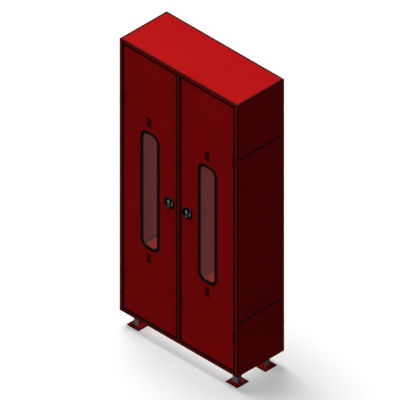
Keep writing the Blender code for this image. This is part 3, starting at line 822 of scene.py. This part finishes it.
def partition():
    """The upright sheet between the compartments, with its foot on the back panel."""
    low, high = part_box("centre_partition")
    half, foot = SHEET / 2, high.x
    back = high.y
    right = [
        (half, low.y, CUT_EDGE),
        (half, back - SHEET, FOLD - SHEET),
        (foot, back - SHEET, CUT_EDGE),
        (foot, back, CUT_EDGE),
    ]
    shape = solid(lambda u, v, w: (u, v, w), filleted(mirrored(right)), low.z, high.z)
    show(shape, "centre_partition", "red_paint")


def shelf(node):
    low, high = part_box(node)
    centre = (low + high) / 2
    place = lambda u, v, w: (centre.x + u, centre.y + v, high.z - w)
    size = high - low
    show(pan(place, size.x, size.y, size.z, band=SHELF_BAND), node, "red_paint")


def leg(end, label):
    """A rolled angle with a root fillet and rounded toes."""
    node = f"{end}_{label}_leg"
    low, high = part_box(node)
    centre = (low + high) / 2
    out_x = 1 if centre.x > 0 else -1
    out_y = 1 if end == "back" else -1
    half = (high.x - low.x) / 2
    root = half - LEG_THICKNESS
    corners = [
        (half, half, 0.0008),
        (-half, half, 0.0006),
        (-half, root, 0.0024),
        (root, root, 0.0045),
        (root, -half, 0.0024),
        (half, -half, 0.0006),
    ]
    boundary = [(centre.x + out_x * u, centre.y + out_y * v) for u, v in filleted(corners, 6)]
    show(solid(lambda u, v, w: (u, v, w), boundary, low.z, high.z), node, "bare_steel")


def door_seal(label):
    """A rubber angle round the opening, whose foot lies on the stop flange."""
    node = f"{label}_door_seal"
    low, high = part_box(node)
    centre = (low + high) / 2
    width, height = high.x - low.x, high.z - low.z
    lip, depth = STOP_FLANGE - 2 * GAP, high.y - low.y
    corners = [
        (0, 0, 0.0003),
        (-SEAL_THICKNESS, 0, 0.0008),
        (-SEAL_THICKNESS, depth - SEAL_FOOT, 0.0006),
        (-lip, depth - SEAL_FOOT, 0.0013),
        (-lip, depth, 0.0004),
        (0, depth, 0.0003),
    ]
    place = lambda u, v, w: (centre.x + u, low.y + w, centre.z + v)
    show(swept(place, filleted(corners, 4), width, height, 0.0, steps=1), node, "black_rubber")


def make_body():
    flat_sheet("roof_panel", 2, band=ROOF_BAND)
    flat_sheet("floor_panel", 2)
    flat_sheet("back_panel", 1)
    flat_sheet("strike_plate", 1, "zinc", corner=0.002, edge=0.0004)
    for label, side in SIDES.items():
        stile(label, side)
    rail("top_rail", frame_high(), -1)
    rail("bottom_rail", frame_low(), 1)
    mullion()
    partition()
    for label, side in SIDES.items():
        side_panel(label, side)
        door_seal(label)
        for level in ("lower", "upper"):
            shelf(f"{level}_{label}_shelf")
            keep(f"{label}_{level}_hinge_pin", "zinc")
        for end in ("front", "back"):
            leg(end, label)
            flat_sheet(f"{end}_{label}_base_plate", 2, corner=0.0025, edge=0.0009)


# Doors


def door_shell(label):
    node = f"{label}_door_shell"
    low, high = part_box(node)
    centre = (low + high) / 2
    place = lambda u, v, w: (centre.x + u, low.y + w, centre.z + v)
    glass_low, glass_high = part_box(f"{label}_window_glass")
    glass = (glass_low + glass_high) / 2 - centre
    spare = GASKET_BAND - GASKET_SKIN_GRIP - (GASKET_GLASS_GRIP - GAP)
    size = glass_high - glass_low
    radius = WINDOW_CORNER + GASKET_BAND - GASKET_SKIN_GRIP
    holes = [((glass.x, glass.z), size.x + 2 * spare, size.z + 2 * spare, radius, 0.0)]
    dish_low, dish_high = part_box(f"{label}_latch_dish")
    dish = (dish_low + dish_high) / 2 - centre
    across = dish_high.x - dish_low.x + 2 * GAP
    holes.append(((dish.x, dish.z), across, across, across / 2, 0.0))
    for direction in (-1, 1):
        for index in (-1, 0, 1):
            z = glass.z + direction * VENT_Z_OFFSET + index * VENT_PITCH
            middle = (glass.x + VENT_X_OFFSET[label], z)
            holes.append((middle, VENT_LENGTH, VENT_HEIGHT, VENT_HEIGHT / 2, VENT_FLANGE))
    shape = pan(place, high.x - low.x, high.z - low.z, high.y - low.y, DOOR_LIP, holes)
    show(shape, node, "red_paint")


def gasket_section():
    """The H-shaped rubber with its filler-strip groove; grow and depth from the door's skin."""
    front, back = -GASKET_LIP, GLASS_THICKNESS + GASKET_LIP
    band, middle = GASKET_BAND, GASKET_BAND / 2
    web = GASKET_BAND - GASKET_SKIN_GRIP - GAP
    return [
        (band, -GAP, 0.0),
        (band - 0.0004, front + 0.0009, 0.0011),
        (band - 0.0045, front, 0.0030),
        (middle + 0.0016, front, 0.0005),
        (middle + 0.0011, front + 0.0010, 0.0003),
        (middle - 0.0011, front + 0.0010, 0.0003),
        (middle - 0.0016, front, 0.0005),
        (0.0045, front, 0.0030),
        (0.0004, front + 0.0009, 0.0011),
        (0.0, -GAP, 0.0),
        (GASKET_GLASS_GRIP, -GAP, 0.0),
        (GASKET_GLASS_GRIP, GLASS_THICKNESS + GAP, 0.0),
        (0.0, GLASS_THICKNESS + GAP, 0.0),
        (0.0004, back - 0.0009, 0.0011),
        (0.0045, back, 0.0030),
        (band - 0.0045, back, 0.0030),
        (band - 0.0004, back - 0.0009, 0.0011),
        (band, SHEET + GAP, 0.0),
        (web, SHEET + GAP, 0.0),
        (web, -GAP, 0.0),
    ]


def window_gasket(label):
    node = f"{label}_window_gasket"
    low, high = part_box(node)
    centre = (low + high) / 2
    skin = low.y + GASKET_LIP
    place = lambda u, v, w: (centre.x + u, skin + w, centre.z + v)
    width, height = high.x - low.x - 2 * GASKET_BAND, high.z - low.z - 2 * GASKET_BAND
    shape = swept(place, filleted(gasket_section(), 4), width, height, WINDOW_CORNER, steps=20)
    show(shape, node, "black_rubber")


def stiffener(node):
    """A top-hat channel across the inside of the door's skin."""
    low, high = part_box(node)
    middle = (low.z + high.z) / 2
    flange = (high.z - low.z) / 2
    crown = flange - STIFFENER_FLANGE
    depth, inner = high.y - low.y, FOLD - SHEET
    upper = [
        (crown - SHEET, 0, FOLD),
        (flange, 0, CUT_EDGE),
        (flange, SHEET, CUT_EDGE),
        (crown, SHEET, inner),
        (crown, depth, FOLD),
    ]
    inside = [(side * (crown - SHEET), depth - SHEET, inner) for side in (-1, 1)]
    section = filleted(mirrored(upper) + inside)
    place = lambda u, v, w: (w, low.y + v, middle + u)
    show(solid(place, section, low.x, high.x), node, "red_paint")


def hinge_half(node):
    """A CAD node's shape with its sharp edges rounded, painted dark all over as shade."""
    shape = bmesh.new()
    shape.from_mesh(frame["nodes"][node].data)
    bmesh.ops.remove_doubles(shape, verts=shape.verts, dist=MERGE)
    edges, verts = shape.edges[:], shape.verts[:]
    bmesh.ops.dissolve_limit(shape, angle_limit=math.radians(0.5), edges=edges, verts=verts)
    sharp = [edge for edge in shape.edges if edge.calc_face_angle(0) > HINGE_SHARP]
    bmesh.ops.bevel(
        shape, geom=sharp, offset=HINGE_EDGE, segments=3, affect="EDGES", profile=0.5, clamp_overlap=True
    )
    show(shape, node, "red_paint", lambda vert: True)


# Latches


def latch_place(label):
    """Outlines round a latch's axis, at a depth behind the door's front plane."""
    low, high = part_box(f"{label}_latch_bezel")
    centre = (low + high) / 2
    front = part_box(f"{label}_door_shell")[0].y
    return lambda u, v, w: (centre.x + u, front + w, centre.z + v)


def radius_of(node):
    low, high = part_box(node)
    return (high.x - low.x) / 2


def bezel(label):
    """The black ring: a raised outer shoulder, a flat crown and a stepped inner lip."""
    node = f"{label}_latch_bezel"
    outer, inner = radius_of(node), radius_of(f"{label}_latch_dish") + GAP
    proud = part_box(f"{label}_door_shell")[0].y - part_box(node)[0].y
    profile = filleted(
        [
            (inner, -GAP, 0.0),
            (inner, -proud + 0.0016, 0.0004),
            (inner + 0.0012, -proud + 0.0014, 0.0003),
            (inner + 0.0018, -proud, 0.0007),
            (outer - 0.0030, -proud, 0.0018),
            (outer - 0.0006, -proud + 0.0020, 0.0014),
            (outer, -GAP, 0.0002),
        ]
    )
    show(turned(latch_place(label), profile), node, "black_plastic")


def dish(label):
    """The silver cup, with a rolled rim, a coved floor and the long bearing boss behind."""
    node = f"{label}_latch_dish"
    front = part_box(f"{label}_door_shell")[0].y
    outer, wall = radius_of(node), DISH_WALL
    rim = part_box(node)[0].y - front
    floor, boss_end = DISH_FLOOR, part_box(node)[1].y - front
    profile = filleted(
        [
            (outer, rim, 0.0006),
            (outer - wall, rim, 0.0008),
            (outer - wall - 0.0004, floor, 0.0040),
            (DISH_LIGHT[1] + DISH_FADE, floor, 0.0),
            (DISH_LIGHT[1], floor, 0.0),
            (DISH_LIGHT[0], floor, 0.0),
            (DISH_LIGHT[0] - DISH_FADE, floor, 0.0),
            (DISH_BORE, floor, 0.0002),
            (DISH_BORE, boss_end, 0.0003),
            (DISH_BOSS, boss_end, 0.0006),
            (DISH_BOSS, floor + wall, 0.0012),
            (outer, floor + wall, 0.0030),
        ],
        6,
    )
    axis = latch_place(label)(0, 0, 0)

    # painted shade over the cup's wall, cove and hub and over its floor above a low line; only a lower ring
    # of floor stays bright
    def shaded_in_cup(vert):
        reach = math.hypot(vert.co.x - axis[0], vert.co.z - axis[2])
        left_bright = DISH_LIGHT[0] - MERGE <= reach <= DISH_LIGHT[1] + MERGE
        return not left_bright or vert.co.z > axis[2] + DISH_LIGHT_TOP

    show(turned(latch_place(label), profile), node, "latch_silver", shaded_in_cup)


def grip(label):
    """The grip bar: waisted for the fingers and domed in front, on its hub, shank and stud."""
    node = f"{label}_latch_grip"
    low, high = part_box(node)
    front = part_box(f"{label}_door_shell")[0].y
    place = latch_place(label)
    face, floor = low.y - front, DISH_FLOOR - GAP
    shape = bmesh.new()
    profile = [
        (0.0, floor),
        (-0.0002, floor - 0.0012),
        (-GRIP_WAIST, floor - 0.0040),
        (-GRIP_WAIST, face + 0.0070),
        (-0.0003, face + 0.0042),
        (0.0, face + 0.0026),
        (-0.0002, face + 0.0017),
        (-0.0007, face + 0.0009),
        (-0.0014, face + 0.0003),
        (-0.0022, face),
    ]
    bar = [(outline(GRIP_WIDTH, GRIP_LENGTH, GRIP_WIDTH / 2, grow), w) for grow, w in profile]
    bridge(shape, [ring(shape, place, points, w) for points, w in bar])
    patch = []
    for fade in (PATCH_FADE, 0.0):
        points = outline(PATCH_WIDTH, PATCH_HEIGHT, PATCH_WIDTH / 2, fade, (0.0, -PATCH_DROP))
        patch.append(ring(shape, place, points, face))
    bridge(shape, patch)
    wall = KEY_RADIUS - CUT_EDGE
    recess = [(KEY_RADIUS, face), (wall, face + 0.0004), (wall, face + KEY_DEPTH)]
    bridge(shape, [ring(shape, place, circle(radius, steps=48), w) for radius, w in recess])
    keyway = outline(*KEYWAY, KEYWAY[0] / 2)
    bridge(shape, [ring(shape, place, keyway, w) for w in (face + KEY_DEPTH, face + 2 * KEY_DEPTH)])
    cap(shape, place)
    cam_low, cam_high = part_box(f"{label}_latch_cam")
    shoulder = cam_low.y - front - GAP
    stud_end = high.y - front
    spindle = filleted(
        [
            (0.0, floor - SHANK_OVERLAP, 0.0),
            (SHANK_RADIUS, floor - SHANK_OVERLAP, 0.0),
            (SHANK_RADIUS, floor, 0.0),
            (SHANK_RADIUS, shoulder, 0.0003),
            (STUD_RADIUS, shoulder, 0.0),
            (STUD_RADIUS, stud_end, 0.0006),
            (0.0, stud_end, 0.0),
        ]
    )
    key = solid(place, filleted(square(SQUARE, 0.0004)), shoulder - 0.001, cam_high.y - front)
    axis = place(0, 0, 0)

    # painted shade on the grip's sides and on a patch round the key recess; only the front face stays bright
    def off_face(vert):
        past_middle = abs(vert.co.z - axis[2] + PATCH_DROP) - (PATCH_HEIGHT - PATCH_WIDTH) / 2
        reach = math.hypot(vert.co.x - axis[0], max(past_middle, 0.0))
        return vert.co.y > low.y + FACE_DEPTH or reach < PATCH_WIDTH / 2 + MERGE

    combined(node, "latch_silver", shape, added=[turned(place, spindle, 48), key], shade_mask=off_face)


def cam(label):
    """A flat lever, round at its hub and its tip, with a square hole."""
    node = f"{label}_latch_cam"
    low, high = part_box(node)
    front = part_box(f"{label}_door_shell")[0].y
    place = latch_place(label)
    axis_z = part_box(f"{label}_latch_bezel")[0].z + radius_of(f"{label}_latch_bezel")
    reach = axis_z - low.z - CAM_TIP
    lean = math.degrees(math.asin((CAM_HUB - CAM_TIP) / reach))
    boundary = arc_points((0.0, 0.0), CAM_HUB, -lean, 180 + lean, 32)
    boundary += arc_points((0.0, -reach), CAM_TIP, 180 + lean, 360 - lean, 24)
    hole = filleted(square(CAM_SQUARE, 0.0005))
    shape = solid(place, boundary, low.y - front, high.y - front, 0.0006, [hole])
    show(shape, node, "zinc")


def nut(label):
    """A hexagon nut whose corners are turned off at both faces."""
    node = f"{label}_latch_nut"
    low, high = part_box(node)
    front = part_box(f"{label}_door_shell")[0].y
    place = latch_place(label)
    corner = radius_of(node)
    flat = corner * math.cos(math.pi / 6)
    start, end = low.y - front, high.y - front
    sides = 72
    shape = bmesh.new()

    def hexagon(limit):
        points = []
        for i in range(sides):
            angle = 2 * math.pi * i / sides
            size = min(flat / math.cos(angle % (math.pi / 3) - math.pi / 6), limit)
            points.append((size * math.cos(angle), size * math.sin(angle)))
        return points

    rise = (corner - flat) * 0.7
    levels = [(flat, start), (corner, start + rise), (corner, end - rise), (flat, end)]
    loops = [ring(shape, place, hexagon(limit), w) for limit, w in levels]
    edge = 0.0006
    wide = NUT_BORE + edge
    bore = [(wide, end), (NUT_BORE, end - edge), (NUT_BORE, start + edge), (wide, start)]
    loops += [ring(shape, place, circle(radius, steps=sides), w) for radius, w in bore]
    bridge(shape, loops, closed=True)
    show(shape, node, "zinc")


def make_doors():
    for label in SIDES:
        door_shell(label)
        window_gasket(label)
        keep(f"{label}_window_glass", "window_glass")
        for level in ("lower", "upper"):
            stiffener(f"{label}_door_{level}_stiffener")
            for half in ("frame", "door"):
                hinge_half(f"{label}_{level}_hinge_{half}_half")
        bezel(label)
        dish(label)
        grip(label)
        cam(label)
        nut(label)


# Studio

FILL = 0.058
BACKDROP = 1.0
FLOOR_GLOW = 0.34
SHINE = 0.7
SHINE_HEIGHTS = (0.80, 0.97)
SUN_WIDTH = 28
SUNS = (
    ("top_light", (-0.27, 0.03, 1.0), 2.44),
    ("front_light", (-0.10, -1.0, 0.25), 0.455),
    ("right_light", (1.0, -0.1, 0.1), 0.02),
    ("left_light", (-1.0, -0.1, 0.2), 0.30),
    ("back_light", (0.1, 1.0, 0.25), 0.60),
)
UNDER_LAMP, UNDER_LAMP_WIDTH = 0.50, 150  # a lamp's power, and how wide it shines in degrees
UNDER_LAMP_INSET = 0.09
SHELF_LAMP, SHELF_LAMP_WIDTH = {"left": 0.51, "right": 0.60}, 30
WALL_LAMP, WALL_LAMP_WIDTH = {"left": 0.295, "right": 0.225}, 140
WALL_LAMP_SHARE = 0.7  # of the compartment's height
END_LAMP, END_LAMP_WIDTH = 0.16, 150
LAMP_CLEAR = 0.03
CAMERA_TARGET = (-0.0163, 0.005, 1.0607)
CAMERA_DISTANCE = 6.0
CAMERA_SCALE = 2.406


def make_floor():
    """A pale floor that the light falls on but that throws nothing back at the cabinet."""
    bpy.ops.mesh.primitive_plane_add(size=60.0)
    floor = bpy.context.object
    floor.name = "studio_floor"
    glow = {"Emission_Color": (1.0, 1.0, 1.0, 1.0), "Emission_Strength": FLOOR_GLOW}
    made = new_material("pale_floor", (0.80, 0.80, 0.80), 0.9, Specular_IOR_Level=0.0, **glow)[0]
    floor.data.materials.append(made)
    floor.visible_diffuse = False
    floor.visible_glossy = False


def make_world():
    """Pale where the camera looks past the floor, dim all round, and bright overhead in metal."""
    world = bpy.data.worlds.new("studio")
    bpy.context.scene.world = world
    world.use_nodes = True
    tree = world.node_tree
    tree.nodes.clear()
    path = tree.nodes.new("ShaderNodeLightPath")
    direction = tree.nodes.new("ShaderNodeTexCoord").outputs["Generated"]
    height = add_node(tree, "ShaderNodeSeparateXYZ", Vector=direction).outputs["Z"]
    overhead = spread(tree, height, 0.0, SHINE, *SHINE_HEIGHTS)
    fill = add_node(tree, "ShaderNodeBackground", Color=(1, 1, 1, 1), Strength=FILL)
    seen = add_node(tree, "ShaderNodeBackground", Color=(1, 1, 1, 1), Strength=BACKDROP)
    shine = add_node(tree, "ShaderNodeBackground", Color=(1, 1, 1, 1), Strength=overhead)
    glossy = add_node(tree, "ShaderNodeMixShader", Fac=path.outputs["Is Glossy Ray"])
    tree.links.new(fill.outputs[0], glossy.inputs[1])
    tree.links.new(shine.outputs[0], glossy.inputs[2])
    whole = add_node(tree, "ShaderNodeMixShader", Fac=path.outputs["Is Camera Ray"])
    tree.links.new(glossy.outputs[0], whole.inputs[1])
    tree.links.new(seen.outputs[0], whole.inputs[2])
    out = tree.nodes.new("ShaderNodeOutputWorld")
    tree.links.new(whole.outputs[0], out.inputs["Surface"])


def aim(data, towards, place=(0.0, 0.0, 0.0)):
    """Puts a lamp or camera at a place, with its back turned towards this direction."""
    obj = bpy.data.objects.new(data.name, data)
    obj.location = place
    obj.rotation_mode = "QUATERNION"
    obj.rotation_quaternion = Vector(towards).to_track_quat("Z", "Y")
    bpy.context.scene.collection.objects.link(obj)
    return obj


def add_sun(name, towards, strength, width):
    """A distant lamp that shines from this direction, as wide as this many degrees."""
    lamp = bpy.data.lights.new(name, "SUN")
    lamp.energy = strength
    lamp.angle = math.radians(width)
    aim(lamp, towards)


def add_panel(name, place, away, size, power, width):
    """A rectangular lamp, unseen by the camera and in reflections, with its back towards away."""
    lamp = bpy.data.lights.new(name, "AREA")
    lamp.shape = "RECTANGLE"
    lamp.size, lamp.size_y = size
    lamp.energy = power
    lamp.spread = math.radians(width)
    obj = aim(lamp, away, place)
    obj.visible_camera = False
    obj.visible_glossy = False


def make_lights():
    """Broad lamps from each side, one under the cabinet and small ones in its compartments."""
    for name, towards, strength in SUNS:
        add_sun(name, towards, strength, SUN_WIDTH)
    low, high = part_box("floor_panel")
    below = (low + high) / 2 - Vector((0, 0, high.z - low.z))
    size = (high.x - low.x - 2 * UNDER_LAMP_INSET, high.y - low.y - 2 * UNDER_LAMP_INSET)
    add_panel("under_lamp", below, (0, 0, 1), size, UNDER_LAMP, UNDER_LAMP_WIDTH)
    for label in SIDES:
        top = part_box(f"upper_{label}_shelf")[0]
        low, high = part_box(f"lower_{label}_shelf")
        centre = (low + high) / 2
        width, depth = high.x - low.x, high.y - low.y
        down = Vector((centre.x, high.y - depth / 4 - LAMP_CLEAR, top.z - LAMP_CLEAR))
        size = (width - 2 * LAMP_CLEAR, depth / 2)
        add_panel(f"{label}_shelf_lamp", down, (0, 0, 1), size, SHELF_LAMP[label], SHELF_LAMP_WIDTH)
        for ceiling in (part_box("roof_panel")[0].z, low.z):
            place = Vector((centre.x, centre.y, ceiling - LAMP_CLEAR))
            add_panel(f"{label}_lamp_{ceiling:.1f}", place, (0, 0, 1), size, END_LAMP, END_LAMP_WIDTH)
        height = (top.z - high.z) * WALL_LAMP_SHARE
        wall = Vector((high.x - LAMP_CLEAR, centre.y, top.z - LAMP_CLEAR - height / 2))
        size = (depth - 2 * LAMP_CLEAR, height)
        add_panel(f"{label}_wall_lamp", wall, (1, 0, 0), size, WALL_LAMP[label], WALL_LAMP_WIDTH)


def make_camera():
    """A true isometric view from the front right and above."""
    camera = bpy.data.cameras.new("camera")
    camera.type = "ORTHO"
    camera.ortho_scale = CAMERA_SCALE
    back = Vector((1.0, -1.0, 1.0)).normalized()
    place = Vector(CAMERA_TARGET) + back * CAMERA_DISTANCE
    bpy.context.scene.camera = aim(camera, back, place)
    bpy.context.scene.view_settings.view_transform = "Standard"


make_body()
make_doors()
make_floor()
make_world()
make_lights()
make_camera()
